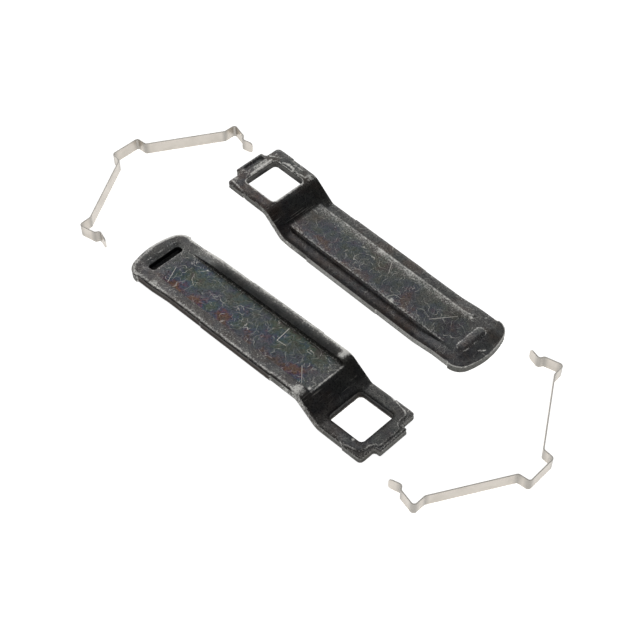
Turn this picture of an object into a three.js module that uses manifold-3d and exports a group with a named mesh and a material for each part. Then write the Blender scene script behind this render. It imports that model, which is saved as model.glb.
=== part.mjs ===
// Disc brake pad retainer kit, laid out on a flat surface. Millimetres, +Z up.
//
// Two pressed steel retaining bars lie side by side, opposite ways round. One shows its rib, the
// other is turned over and shows the channel behind the rib. A bent strip spring stands on its edge
// beyond each end of the pair. The origin is the centre of the footprint, on the surface.
import * as THREE from 'three';
import { mergeVertices } from 'three/addons/utils/BufferGeometryUtils.js';
import Module from 'manifold-3d';

const wasm = await Module();
wasm.setup();

// ---- Retaining bar. Own frame: X from the hole end to the rounded end, Z towards the rib side, ----
// ---- Z = 0 on the channel side of the flanges.                                                 ----
const SHEET = 4.0;
const BAR_END = 149.7;
const JOGGLE = 9.8;
const JOGGLE_FROM = 25.4;
const JOGGLE_TO = 36.9;
const BEND_RADIUS = 5.0;

// The flanges climb to a raised end panel, so the rib runs out level with it.
const END_RISE = 1.4;
const END_RAMP_FROM = 119.5;
const END_RAMP_TO = 131;
const RAMP_RADIUS = 14;

const RIB_RISE = 2.0;
const RIB_CREST_HALF = 10.2;
const RIB_FOOT_HALF = 11.0;
const CHANNEL_FLOOR_HALF = 9.7;
const RIB_FADE_FROM = 123.5;
const RIB_FADE_TO = 132.5;

// Plan of the blank: half widths, each followed by the X where the next one starts.
const EAR_HALF = 16.45;
const NECK_HALF = 16.0;
const BODY_HALF = 16.35;
const TAIL_HALF = 16.1;
const HEAD_HALF = 16.8;
const NECK_X = 10.6;
const BODY_X = 52.7;
const TAIL_X = 97.0;
const HEAD_X = 139.9;
const STEP_LENGTH = 0.45;
const EAR_RADIUS = 1.5;
const EAR_STEPS = 3;
const TONGUE_LENGTH = 3.1;
const TONGUE_HALF = 8.2;
const TONGUE_CHAMFER = 0.7;
const TONGUE_ROOT = 1.2;
const END_RADIUS = 36;
const END_CORNER = 7.5;
const END_STEPS = 4;

const HOLE_SIZE = 19.8;
const HOLE_CENTRE = [15.0, -0.35];
const HOLE_RADIUS = 2.0;

const POCKET_X = 139.2;
const POCKET_LENGTH = 18.0;
const POCKET_WIDTH = 3.9;
const POCKET_DEPTH = 2.6;
const POCKET_END_FLAT = 1.4;
const BUMP_LENGTH = 17.0;
const BUMP_WIDTH = 5.6;
const BUMP_RISE = 0.6;
const BUMP_SLOPE = 0.8;
const BUMP_END_FLAT = 0.2;

// ---- Strip spring. Own plan frame: base along X, feet towards +Y. Corners of one half, from the ----
// ---- end of the base to the tip of the tab.                                                    ----
const STRIP = 0.6;
const STRIP_HEIGHT = 6.5;
const STRIP_RADIUS = 1.4;
const TAB_RADIUS = 1.8;
const HALF_SPRING = [[7.7, 0], [8.2, 5.6], [41.9, 25.9], [48.5, 26.1], [46.4, 34.8], [44.2, 36.0], [45.8, 41.8]];

// ---- Layout: position of each own frame's origin, and its turn about Z in degrees. ----
const RIB_UP_BAR = { x: -72.82, y: 31.65, turn: -0.24 };
const CHANNEL_UP_BAR = { x: 75.56, y: -31.32, turn: 180.29 };
const LEFT_SPRING = { x: -131.61, y: 0.7, turn: 269.67 };
const RIGHT_SPRING = { x: 131.49, y: 0.43, turn: 91.86 };

// Tools that cut the blank reach this far past it.
const CUT_MARGIN = 5;
const ARC_STEPS = 5;
const degrees = THREE.MathUtils.degToRad;

// ---- Solids ----
function toManifold(geometry) {
  const bare = new THREE.BufferGeometry();
  bare.setAttribute('position', geometry.getAttribute('position').clone());
  if (geometry.index) bare.setIndex(geometry.index.clone());
  const merged = mergeVertices(bare, 1e-5);
  return new wasm.Manifold(new wasm.Mesh({
    numProp: 3,
    vertProperties: new Float32Array(merged.getAttribute('position').array),
    triVerts: new Uint32Array(merged.index.array),
  }));
}

function fromManifold(solid) {
  const mesh = solid.getMesh();
  const geometry = new THREE.BufferGeometry();
  geometry.setAttribute('position', new THREE.BufferAttribute(mesh.vertProperties.slice(), 3));
  geometry.setIndex(Array.from(mesh.triVerts));
  return geometry;
}

// Closed skin through rings of points. Every ring has the same count and a convex cap.
function loft(rings) {
  const count = rings[0].length;
  const positions = rings.flat(2);
  const index = [];
  for (let r = 0; r + 1 < rings.length; r += 1) {
    for (let i = 0; i < count; i += 1) {
      const a = r * count + i;
      const b = r * count + ((i + 1) % count);
      index.push(a, b, b + count, a, b + count, a + count);
    }
  }
  const last = (rings.length - 1) * count;
  for (let i = 1; i + 1 < count; i += 1) {
    index.push(0, i + 1, i);
    index.push(last, last + i, last + i + 1);
  }
  const geometry = new THREE.BufferGeometry();
  geometry.setAttribute('position', new THREE.Float32BufferAttribute(positions, 3));
  geometry.setIndex(index);
  return geometry;
}

// Upright prism over a plan outline, between two heights.
function prism(outline, low, high) {
  const shape = new THREE.Shape(outline.map(([x, y]) => new THREE.Vector2(x, y)));
  const geometry = new THREE.ExtrudeGeometry(shape, { depth: high - low, bevelEnabled: false });
  geometry.translate(0, 0, low);
  return toManifold(geometry);
}

// Points of a circular arc, ends included.
function arc(cx, cy, radius, from, to, steps = ARC_STEPS) {
  const points = [];
  for (let i = 0; i <= steps; i += 1) {
    const angle = from + ((to - from) * i) / steps;
    points.push([cx + radius * Math.cos(angle), cy + radius * Math.sin(angle)]);
  }
  return points;
}

function roundedRectangle(cx, cy, width, height, radius) {
  const dx = width / 2 - radius;
  const dy = height / 2 - radius;
  const quarter = Math.PI / 2;
  const corners = [[dx, dy], [-dx, dy], [-dx, -dy], [dx, -dy]];
  return corners.flatMap(([x, y], i) => arc(cx + x, cy + y, radius, i * quarter, (i + 1) * quarter));
}

// Path through corners with each inner corner rounded: stations with a position and a heading.
function roundedPath(corners, radii) {
  const points = corners.map(([x, y]) => new THREE.Vector2(x, y));
  const stations = [];
  const last = points.length - 1;
  for (let i = 0; i <= last; i += 1) {
    const before = points[Math.max(i - 1, 0)];
    const after = points[Math.min(i + 1, last)];
    if (i === 0 || i === last) {
      stations.push({ at: points[i], heading: after.clone().sub(before).angle() });
      continue;
    }
    const into = points[i].clone().sub(before);
    const out = after.clone().sub(points[i]);
    const turn = Math.atan2(into.cross(out), into.dot(out));
    const radius = radii[i - 1];
    const side = Math.sign(turn);
    const start = points[i].clone().addScaledVector(into.normalize(), -radius * Math.tan(Math.abs(turn) / 2));
    const centre = new THREE.Vector2(-into.y, into.x).multiplyScalar(side * radius).add(start);
    for (let k = 0; k <= ARC_STEPS; k += 1) {
      const heading = into.angle() + (turn * k) / ARC_STEPS;
      const spoke = new THREE.Vector2(Math.sin(heading), -Math.cos(heading)).multiplyScalar(side * radius);
      stations.push({ at: centre.clone().add(spoke), heading });
    }
  }
  return stations;
}

// ---- Retaining bar ----
// Plan outline: one half from the tongue to the rounded end, then its mirror image.
function barOutline() {
  const cornerY = HEAD_HALF - END_CORNER;
  const endCentre = BAR_END - END_RADIUS;
  const cornerX = endCentre + Math.sqrt((END_RADIUS - END_CORNER) ** 2 - cornerY ** 2);
  const split = Math.atan2(cornerY, cornerX - endCentre);
  const half = [
    [-TONGUE_LENGTH, TONGUE_HALF - TONGUE_CHAMFER],
    [-TONGUE_LENGTH + TONGUE_CHAMFER, TONGUE_HALF],
    [-TONGUE_ROOT, TONGUE_HALF],
    [0, TONGUE_HALF + TONGUE_ROOT],
    ...arc(EAR_RADIUS, EAR_HALF - EAR_RADIUS, EAR_RADIUS, Math.PI, Math.PI / 2, EAR_STEPS),
    [NECK_X, EAR_HALF], [NECK_X + STEP_LENGTH, NECK_HALF],
    [BODY_X, NECK_HALF], [BODY_X + STEP_LENGTH, BODY_HALF],
    [TAIL_X, BODY_HALF], [TAIL_X + STEP_LENGTH, TAIL_HALF],
    [HEAD_X, TAIL_HALF],
    ...arc(cornerX, cornerY, END_CORNER, Math.PI / 2, split),
    ...arc(endCentre, 0, END_RADIUS, split, 0, END_STEPS).slice(1),
  ];
  const mirrored = half.slice(0, -1).map(([x, y]) => [x, -y]);
  return [...mirrored, ...half.reverse()];
}

// Side view of the middle of the sheet: hole plate, joggle, flanges, raised end panel.
function sideProfile() {
  const middle = SHEET / 2;
  const corners = [
    [-TONGUE_LENGTH - CUT_MARGIN, JOGGLE + middle],
    [JOGGLE_FROM, JOGGLE + middle],
    [JOGGLE_TO, middle],
    [END_RAMP_FROM, middle],
    [END_RAMP_TO, END_RISE + middle],
    [BAR_END + CUT_MARGIN, END_RISE + middle],
  ];
  const stations = roundedPath(corners, [BEND_RADIUS, BEND_RADIUS, RAMP_RADIUS, RAMP_RADIUS]);
  const fall = JOGGLE / (JOGGLE_TO - JOGGLE_FROM);
  const slope = -Math.atan(fall);
  const overhang = middle * Math.abs(Math.sin(slope));
  const lift = middle * (1 - Math.cos(slope));
  // Where the rib's top and the channel's floor leave the joggle.
  const levels = [RIB_RISE + lift, RIB_RISE - lift];
  for (const level of levels) {
    stations.push({ at: new THREE.Vector2(JOGGLE_TO - level / fall, level + middle), heading: slope });
  }
  for (const x of [RIB_FADE_FROM, (RIB_FADE_FROM + RIB_FADE_TO) / 2]) {
    const rise = END_RISE * (x - END_RAMP_FROM) / (END_RAMP_TO - END_RAMP_FROM);
    const heading = Math.atan2(END_RISE, END_RAMP_TO - END_RAMP_FROM);
    stations.push({ at: new THREE.Vector2(x, rise + middle), heading });
  }
  stations.push({ at: new THREE.Vector2(RIB_FADE_TO + overhang, END_RISE + middle), heading: 0 });
  return stations.sort((a, b) => a.at.x - b.at.x);
}

// How far the rib stands above a sheet level at X.
function ribLift(x, level) {
  const fade = THREE.MathUtils.clamp((x - RIB_FADE_FROM) / (RIB_FADE_TO - RIB_FADE_FROM), 0, 1);
  const top = THREE.MathUtils.lerp(RIB_RISE, END_RISE, fade);
  return Math.max(0, top - level);
}

// The bent and ribbed sheet, wider and longer than the blank.
function ribbedSheet() {
  const edge = HEAD_HALF + CUT_MARGIN;
  const rows = [-edge, -RIB_FOOT_HALF, -RIB_CREST_HALF, -CHANNEL_FLOOR_HALF];
  rows.push(...rows.map((y) => -y).reverse());
  const rings = sideProfile().map(({ at, heading }) => {
    const reach = new THREE.Vector2(-Math.sin(heading), Math.cos(heading)).multiplyScalar(SHEET / 2);
    const low = at.clone().sub(reach);
    const high = at.clone().add(reach);
    const under = rows.map((y) => {
      const inside = Math.abs(y) <= CHANNEL_FLOOR_HALF;
      return [low.x, y, low.y + (inside ? ribLift(low.x, low.y) : 0)];
    });
    const over = rows.map((y) => {
      const inside = Math.abs(y) <= RIB_CREST_HALF;
      return [high.x, y, high.y + (inside ? ribLift(high.x, high.y - SHEET) : 0)];
    });
    return { under, over };
  });
  return sheetSkin(rings);
}

// Closed skin of a sheet given as a grid of points under it and a grid over it.
function sheetSkin(rings) {
  const width = rings[0].under.length;
  const positions = rings.flatMap(({ under, over }) => [...under, ...over]).flat();
  const under = (r, i) => r * 2 * width + i;
  const over = (r, i) => under(r, i) + width;
  const index = [];
  const quad = (a, b, c, d) => index.push(a, b, c, a, c, d);
  const last = rings.length - 1;
  for (let r = 0; r < last; r += 1) {
    for (let i = 0; i + 1 < width; i += 1) {
      quad(under(r, i), under(r, i + 1), under(r + 1, i + 1), under(r + 1, i));
      quad(over(r, i), over(r + 1, i), over(r + 1, i + 1), over(r, i + 1));
    }
    quad(under(r, 0), under(r + 1, 0), over(r + 1, 0), over(r, 0));
    const end = width - 1;
    quad(under(r, end), over(r, end), over(r + 1, end), under(r + 1, end));
  }
  for (let i = 0; i + 1 < width; i += 1) {
    quad(under(0, i), over(0, i), over(0, i + 1), under(0, i + 1));
    quad(under(last, i), under(last, i + 1), over(last, i + 1), over(last, i));
  }
  const geometry = new THREE.BufferGeometry();
  geometry.setAttribute('position', new THREE.Float32BufferAttribute(positions, 3));
  geometry.setIndex(index);
  return toManifold(geometry);
}

// Low oval swelling on the rib side, over the pocket.
function bump() {
  const top = SHEET + END_RISE + BUMP_RISE;
  const ring = (shrink, z) => {
    const width = BUMP_WIDTH - 2 * shrink;
    const radius = (width - BUMP_END_FLAT) / 2;
    const outline = roundedRectangle(POCKET_X, 0, width, BUMP_LENGTH - 2 * shrink, radius);
    return outline.map(([x, y]) => [x, y, z]);
  };
  return toManifold(loft([ring(0, top - 2 * BUMP_RISE), ring(0, top - BUMP_RISE), ring(BUMP_SLOPE, top)]));
}

function bar() {
  const low = -CUT_MARGIN;
  const high = JOGGLE + SHEET + CUT_MARGIN;
  const hole = roundedRectangle(...HOLE_CENTRE, HOLE_SIZE, HOLE_SIZE, HOLE_RADIUS);
  const pocketRadius = (POCKET_WIDTH - POCKET_END_FLAT) / 2;
  const pocket = roundedRectangle(POCKET_X, 0, POCKET_WIDTH, POCKET_LENGTH, pocketRadius);
  return ribbedSheet()
    .intersect(prism(barOutline(), low, high))
    .subtract(prism(hole, low, high))
    .add(bump())
    .subtract(prism(pocket, low, END_RISE + POCKET_DEPTH));
}

// Turned over, the bar rests on the joggle's outer bend and on the bump near the rounded end.
function channelUpPose() {
  const bendX = JOGGLE_FROM - BEND_RADIUS * Math.tan(joggleAngle() / 2);
  const bumpX = POCKET_X + BUMP_WIDTH / 2 - BUMP_SLOPE;
  const drop = JOGGLE - END_RISE - BUMP_RISE;
  const tilt = Math.asin(drop / Math.hypot(bumpX - bendX, drop));
  return new THREE.Matrix4().makeRotationY(tilt).multiply(new THREE.Matrix4().makeRotationX(Math.PI));
}

function joggleAngle() {
  return Math.atan(JOGGLE / (JOGGLE_TO - JOGGLE_FROM));
}

// ---- Strip spring ----
function springPath() {
  const other = HALF_SPRING.map(([x, y]) => [-x, y]).reverse();
  const corners = [...other, ...HALF_SPRING];
  return roundedPath(corners, corners.slice(2).map(() => STRIP_RADIUS));
}

// Height the tab's rounded corner takes off the strip, at a distance from the tab's end.
function cornerLoss(distance) {
  const inside = Math.max(0, TAB_RADIUS - distance);
  return TAB_RADIUS - Math.sqrt(TAB_RADIUS ** 2 - inside ** 2);
}

function spring() {
  const stations = springPath();
  const endwards = [0.02, 0.3, 0.9, 1].map((share) => share * TAB_RADIUS);
  const section = ({ at, heading }, distance) => {
    const side = new THREE.Vector2(-Math.sin(heading), Math.cos(heading)).multiplyScalar(STRIP / 2);
    const loss = Math.min(cornerLoss(distance), TAB_RADIUS);
    const [low, high] = [loss, STRIP_HEIGHT - loss];
    const left = at.clone().add(side);
    const right = at.clone().sub(side);
    return [[right.x, right.y, low], [left.x, left.y, low], [left.x, left.y, high], [right.x, right.y, high]];
  };
  // Sections close to a tab's end, from the end inwards.
  const tabSections = (end, inward) => endwards.map((distance) => {
    const step = new THREE.Vector2(Math.cos(end.heading), Math.sin(end.heading));
    const at = end.at.clone().addScaledVector(step, inward * distance);
    return section({ at, heading: end.heading }, distance);
  });
  const first = stations[0];
  const final = stations[stations.length - 1];
  const between = stations.slice(1, -1).map((station) => section(station, TAB_RADIUS));
  return loft([...tabSections(first, 1), ...between, ...tabSections(final, -1).reverse()]);
}

// ---- Assembly ----
function place(geometry, spot) {
  geometry.computeBoundingBox();
  geometry.translate(0, 0, -geometry.boundingBox.min.z);
  geometry.rotateZ(degrees(spot.turn));
  geometry.translate(spot.x, spot.y, 0);
  return geometry;
}

function piece(name, geometry, material) {
  const mesh = new THREE.Mesh(geometry, new THREE.MeshStandardMaterial(material));
  mesh.name = name;
  return mesh;
}

const BLACK_STEEL = { color: 0x2b2c2e, roughness: 0.45, metalness: 0.75 };
const SPRING_STEEL = { color: 0xc9c5bf, roughness: 0.32, metalness: 0.9 };

const barSolid = bar();
const turnedOver = fromManifold(barSolid).applyMatrix4(channelUpPose());

const kit = new THREE.Group();
kit.name = 'pad_retainer_kit';
kit.add(piece('retainer_rib_up', place(fromManifold(barSolid), RIB_UP_BAR), BLACK_STEEL));
kit.add(piece('retainer_channel_up', place(turnedOver, CHANNEL_UP_BAR), BLACK_STEEL));
kit.add(piece('pad_spring_left', place(spring(), LEFT_SPRING), SPRING_STEEL));
kit.add(piece('pad_spring_right', place(spring(), RIGHT_SPRING), SPRING_STEEL));

export default kit;
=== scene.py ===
"""Looks for the brake pad retainer kit: two pressed black steel bars and two bent strip springs.

Lengths below are millimetres in each piece's own frame; placed() turns them into metres in the row frame.
"""

import math

import bpy
import numpy as np
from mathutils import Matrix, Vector
from mathutils.geometry import delaunay_2d_cdt


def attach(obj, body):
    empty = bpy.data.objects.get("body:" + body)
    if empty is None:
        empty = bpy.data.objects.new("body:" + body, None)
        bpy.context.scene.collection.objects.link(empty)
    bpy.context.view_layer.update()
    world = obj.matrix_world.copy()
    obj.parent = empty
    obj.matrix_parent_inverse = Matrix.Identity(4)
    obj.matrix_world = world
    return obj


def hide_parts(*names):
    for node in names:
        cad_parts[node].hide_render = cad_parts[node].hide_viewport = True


MM = 0.001

# ---- Retaining bar: X from the hole end to the rounded end, Z towards the rib side ----
SHEET = 4.0
BAR_END = 149.7
JOGGLE = 9.8
JOGGLE_FROM = 25.4
JOGGLE_TO = 36.9
BEND_RADIUS = 5.0
END_RISE = 1.4
END_RAMP = (119.5, 131.0)
RAMP_RADIUS = 14.0
RIB_RISE = 2.0
RIB_CREST = (9.9, 11.1)       # half widths where the rib's wall starts and ends, rib side
CHANNEL_WALL = (9.6, 10.4)    # the same on the channel side
RIB_FADE = (123.5, 132.5)
RIB_TAPER = (124.5, 130.0)    # the crest's far edge swings outwards along this stretch
RIB_SWING = 1.3
TIP_CURL = 0.45               # how far the rounded end falls back towards the channel side
TIP_CURL_SPAN = (141.0, 149.5)

EAR_HALF = 16.45
NECK_HALF = 16.0
BODY_HALF = 16.35
TAIL_HALF = 16.1
HEAD_HALF = 16.8
NECK_X = 10.6
BODY_X = 52.7
TAIL_X = 97.0
HEAD_X = 139.9
STEP_LENGTH = 0.45
EAR_RADIUS = 1.5
TONGUE_LENGTH = 3.1
TONGUE_HALF = 8.2
TONGUE_CORNER = 0.8
TONGUE_ROOT = 1.2
END_RADIUS = 36.0
END_CORNER = 7.5

HOLE_SIZE = 19.8
HOLE_CENTRE = (15.0, -0.35)
HOLE_RADIUS = 2.0

POCKET_X = 139.2
POCKET_SIZE = (4.4, 18.0)
POCKET_CORNER = 1.4
POCKET_DEPTH = 2.6
POCKET_LEE = 2.7              # sloped shoulder on the pocket's tip side
BUMP_SIZE = (5.6, 17.0)
BUMP_RISE = 0.6
BUMP_SLOPE = 0.8
BUMP_ROUND = 1.9              # width over which the bump's side rounds up to its top

ROLL_OVER = (1.7, 0.32, 1.5)  # rounded edge on the rib side: width, depth, and how sharply it turns
ROLL_UNDER = (0.9, 0.30, 2.0) # the same on the channel side
ROLL_HOLE = (1.0, 0.16, 2.0)
CORNER_ROLL = (3.0, 0.5)      # deeper rounding at the ears' corners on the rib side
COIN_WIDTH = 2.05             # coined ledge round the hole end, channel side
COIN_DEPTH = 0.42
COIN_RUN_OUT = (13.5, 5.0)    # the ledge narrows away along the sides between these
COIN_CORNER = (4.9, 11.4)     # centre the ledge's corner turns round

HAIR_WIDTH = 0.13             # half width of a hairline scratch
HAIR_WAVER = 4.5              # how far a hairline wanders from its arc
HAIR_CELLS = (8.0, 6.0, 5.0, 4.0, 3.2)
FLAT = (1.0, 1.0, 0.0)
AWAY = 9.0                    # a distance too long to matter

# Point grids over the blank: start, end, step along, step across, clear margin at the edges
GRIDS = [
    (-TONGUE_LENGTH, 24.0, 0.6, 0.6, 1.0), (24.0, 43.0, 0.6, 1.2, 2.0), (43.0, 118.0, 1.8, 1.5, 2.0),
    (118.0, 134.0, 1.0, 1.0, 2.0), (134.0, BAR_END, 0.6, 0.6, 1.0),
]
OUTLINE_STEP = 0.9
HOLE_STEP = 0.7
POCKET_STEP = 0.45
# Plan distances inside an edge at which the mesh has a ring of points
EDGE_INSETS = (0.12, 0.28, 0.5, 0.75, 1.05, 1.4, 1.8, 2.25)
HOLE_INSETS = EDGE_INSETS[:6]
POCKET_RINGS = (1.0, 0.6, 0.25, 0.02, -0.08, -0.16, -0.24, -0.34)

# Cut edge: shares of the way from the channel side to the rib side, and how deep each is torn
CUT_SHARES = (0.12, 0.3, 0.48, 0.6, 0.66, 0.72, 0.85)
CUT_DEPTHS = (0.08, 0.14, 0.16, 0.12, 0.05, 0.0, 0.0)

# Bright rubbed places: x, y, radius, strength
RIB_SIDE_SPOTS = [
    (24.6, 13.4, 1.6, 0.8), (76.0, 8.6, 1.1, 1.0), (131.2, 9.0, 0.8, 0.9), (135.3, 13.6, 0.8, 0.6),
    (100.0, -9.3, 0.8, 0.8), (1.4, -12.0, 1.2, 0.5), (61.0, 4.0, 1.4, 0.35), (2.7, 12.6, 1.0, 0.6),
]
CHANNEL_SIDE_SPOTS = [
    (36.6, -8.6, 0.8, 1.0), (127.5, 6.5, 1.2, 0.6), (129.5, 8.6, 1.2, 0.6), (39.5, -13.0, 2.4, 0.4),
    (84.0, 3.0, 1.4, 0.35), (131.0, -12.5, 2.0, 0.4), (9.0, -11.3, 0.7, 0.8),
]

# Bright rubbed lines: start, end, half width, strength
RIB_SIDE_STREAKS = [
    ((3.9, -5.0), (3.7, 8.2), 0.55, 1.3), ((9.0, 10.9), (11.8, 12.0), 0.5, 1.2),
    ((11.8, 12.0), (15.4, 11.6), 0.6, 1.4), ((15.4, 11.6), (16.2, 10.0), 0.40, 1.1),
    ((18.5, 10.8), (23.5, 11.6), 0.5, 0.8), ((1.2, 9.6), (6.0, 12.4), 0.5, 0.8),
    ((25.2, -8.6), (25.2, 8.4), 0.40, 1.0), ((0.8, -14.0), (9.0, -15.4), 0.5, 0.7),
    ((2.6, -1.0), (2.4, 6.5), 0.9, 0.4), ((14.0, 13.6), (19.5, 13.9), 0.5, 0.6),
    ((145.4, -2.4), (147.2, 0.0), 0.35, 0.9),
]
CHANNEL_SIDE_STREAKS = [((36.0, -12.0), (36.2, -15.5), 0.5, 0.5), ((61.0, -10.9), (84.0, -11.4), 0.3, 0.45)]

# Single long scratches: start, end, half width
RIB_SIDE_STROKES = [
    ((119.0, -5.0), (126.5, 5.0), 0.16), ((130.6, 7.6), (133.0, 11.2), 0.13),
    ((84.0, 8.0), (88.0, 1.5), 0.13), ((29.5, 5.5), (34.8, 2.2), 0.14),
]
CHANNEL_SIDE_STROKES = [
    ((67.0, 9.0), (66.0, 0.5), 0.17), ((66.0, 0.5), (61.0, 1.0), 0.12),
    ((48.0, -2.0), (41.0, -9.0), 0.12), ((131.2, -0.5), (127.2, -9.1), 0.14),
]

# ---- Colours of the black finish ----
OXIDE_DARK = (0.080, 0.083, 0.087, 1)
OXIDE_LIGHT = (0.168, 0.168, 0.163, 1)
GRAIN_DARK = (0.042, 0.042, 0.043, 1)
PIT = (0.024, 0.024, 0.025, 1)
# Dulled crust colour, also laid as painted light on the channel side's far wall and flange
DULLED_AND_PAINTED_LIGHT = (0.23, 0.225, 0.215, 1)
SPECK = (0.40, 0.39, 0.36, 1)
FLECK = (0.85, 0.83, 0.79, 1)
SCRATCH = (0.84, 0.81, 0.75, 1)
BARE_STEEL = (0.96, 0.95, 0.91, 1)
# Torn band in the hole, near black: painted shade in the bore
BORE_TORN_PAINTED_SHADE = (0.008, 0.008, 0.008, 1)
EDGE_FOOT = (0.05, 0.048, 0.045, 1)
EDGE_PIT = (0.030, 0.028, 0.026, 1)
# Oxide film from rust through violet, blue, teal and olive to brown, by place on its ramp
FILM_TONES = [
    (0.24, (0.200, 0.092, 0.050, 1)), (0.32, (0.138, 0.072, 0.108, 1)), (0.41, (0.072, 0.088, 0.150, 1)),
    (0.52, (0.075, 0.120, 0.128, 1)), (0.63, (0.106, 0.134, 0.090, 1)), (0.75, (0.122, 0.102, 0.090, 1)),
]
FILM_ENDS = ((0.105, 0.090, 0.08, 1), (0.105, 0.105, 0.10, 1))
RIB_UP_STAIN = (0.125, 0.088, 0.070, 1)
CHANNEL_UP_STAIN = (0.105, 0.092, 0.085, 1)
# Tones of the cut edge: "ends" is near both ends of the bar, "bore" the sheared band in the hole, which on
# the rib-up bar is near black as painted shade
RIB_UP_EDGE = {
    "torn": (0.27, 0.27, 0.255, 1), "sheared": (0.31, 0.305, 0.29, 1), "ends": (0.12, 0.12, 0.11, 1),
    "stained": (0.15, 0.145, 0.135, 1), "bore": (0.02, 0.02, 0.02, 1),
}
CHANNEL_UP_EDGE = {
    "torn": (0.036, 0.027, 0.022, 1), "sheared": (0.042, 0.034, 0.029, 1), "ends": (0.15, 0.15, 0.14, 1),
    "stained": (0.055, 0.045, 0.038, 1), "bore": (0.042, 0.034, 0.029, 1),
}

# ---- Strip spring: base along X, feet towards +Y ----
STRIP = 0.6
STRIP_HEIGHT = 6.5
STRIP_RADIUS = 1.4
STRIP_BEND_STEPS = 5
STRIP_SPACING = 1.5           # shortest step a straight run is cut into
STRIP_ROUND = 0.12            # rounding of the strip's four long corners
STRIP_SHARP = 22.0            # degrees between faces above which an edge is drawn sharp
TAB_RADIUS = 1.8
HALF_SPRING = [(7.7, 0), (8.2, 5.6), (41.9, 25.9), (48.5, 26.1), (46.4, 34.8), (44.2, 36.0), (45.8, 41.8)]

STRIP_DARK = (0.54, 0.50, 0.45, 1)
STRIP_LIGHT = (0.68, 0.635, 0.575, 1)
STRIP_CLOUD = (0.44, 0.41, 0.36, 1)
STRIP_BEND = (0.28, 0.27, 0.25, 1)
STRIP_EDGE = (0.90, 0.87, 0.82, 1)

# ---- Layout, as in the CAD: position and turn about Z in degrees ----
RIB_UP_BAR = (-72.82, 31.65, -0.24)
CHANNEL_UP_BAR = (75.56, -31.32, 180.29)
LEFT_SPRING = (-131.61, 0.7, 269.67)
RIGHT_SPRING = (131.49, 0.43, 91.86)

# ---- Camera, light and floor ----
VIEW_TARGET = (9.45, -4.87, 0.0)
VIEW_DISTANCE = 624.0
VIEW_AZIMUTH = 45.5
VIEW_ELEVATION = 50.36
LENS = 79.23
WHITE = (1.0, 1.0, 1.0, 1.0)
FLOOR_DARK = (0.80, 0.80, 0.80, 1)
FLOOR_LIGHT = (0.83, 0.83, 0.83, 1)
FLOOR_GLOW = 0.92
WORLD_GLOW = 0.15
LIGHT_DISTANCE = 2.2          # metres
# Name, turn from the camera's azimuth, elevation, size in metres, radiance
LIGHTS = [
    ("backdrop", 180.0, 30.0, (3.0, 1.5), 1.1),
    ("front_fill", 10.0, 28.0, (1.6, 1.0), 0.4),
    ("top_fill", 0.0, 88.0, (1.0, 1.0), 0.4),
]


# ---- Plan geometry ----
def smooth(low, high, value):
    t = np.clip((value - low) / (high - low), 0.0, 1.0)
    return t * t * (3.0 - 2.0 * t)


def span(x, rise_from, rise_to, fall_from, fall_to):
    """1 along a stretch of x, fading in before it and out after it."""
    return smooth(rise_from, rise_to, x) * smooth(fall_to, fall_from, x)


def soft_positive(value, softness):
    """value where it is well above 0, exactly 0 where it is well below, with a rounded turn between."""
    turn = (np.clip(value, -softness, softness) + softness) ** 2 / (4.0 * softness)
    return np.where(value > softness, value, turn)


def arc(cx, cy, radius, start, end, steps):
    angles = np.linspace(start, end, steps + 1)
    return [(cx + radius * math.cos(a), cy + radius * math.sin(a)) for a in angles]


def rounded_rectangle(centre, size, radius, steps=6):
    dx, dy = size[0] / 2 - radius, size[1] / 2 - radius
    corners = [(dx, dy), (-dx, dy), (-dx, -dy), (dx, -dy)]
    points = []
    for i, (x, y) in enumerate(corners):
        points += arc(centre[0] + x, centre[1] + y, radius, i * math.pi / 2, (i + 1) * math.pi / 2, steps)
    return np.array(points)


def bar_outline():
    """Plan outline of the bar, counterclockwise: one half from the tongue to the tip, then its mirror."""
    corner_y = HEAD_HALF - END_CORNER
    end_centre = BAR_END - END_RADIUS
    corner_x = end_centre + math.sqrt((END_RADIUS - END_CORNER) ** 2 - corner_y ** 2)
    split = math.atan2(corner_y, corner_x - end_centre)
    ear_y = EAR_HALF - EAR_RADIUS
    tongue_y = TONGUE_HALF - TONGUE_CORNER
    half = arc(TONGUE_CORNER - TONGUE_LENGTH, tongue_y, TONGUE_CORNER, math.pi, math.pi / 2, 4)
    half += [(-TONGUE_ROOT, TONGUE_HALF), (-0.3, TONGUE_HALF + 0.5), (0.0, TONGUE_HALF + TONGUE_ROOT)]
    half += arc(EAR_RADIUS, ear_y, EAR_RADIUS, math.pi, math.pi / 2, 6)
    half += [(NECK_X, EAR_HALF), (NECK_X + STEP_LENGTH, NECK_HALF)]
    half += [(BODY_X, NECK_HALF), (BODY_X + STEP_LENGTH, BODY_HALF)]
    half += [(TAIL_X, BODY_HALF), (TAIL_X + STEP_LENGTH, TAIL_HALF), (HEAD_X, TAIL_HALF)]
    half += arc(corner_x, corner_y, END_CORNER, math.pi / 2, split, 14)
    half += arc(end_centre, 0.0, END_RADIUS, split, 0.0, 10)[1:]
    mirrored = [(x, -y) for x, y in half[:-1]]
    return np.array(mirrored + half[::-1])


def resampled(loop, spacing):
    """The closed loop with its long edges split into steps no longer than spacing."""
    points = []
    for a, b in zip(loop, np.roll(loop, -1, axis=0)):
        length = np.linalg.norm(b - a)
        if length < 1e-6:
            continue
        steps = max(1, int(math.ceil(length / spacing)))
        points += [a + (b - a) * i / steps for i in range(steps)]
    return np.array(points)


def left_normals(loop):
    """Unit normals to the left of a loop: inwards where it runs counterclockwise."""
    ahead = np.roll(loop, -1, axis=0) - np.roll(loop, 1, axis=0)
    ahead /= np.linalg.norm(ahead, axis=1)[:, None]
    return np.stack([-ahead[:, 1], ahead[:, 0]], axis=1)


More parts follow.
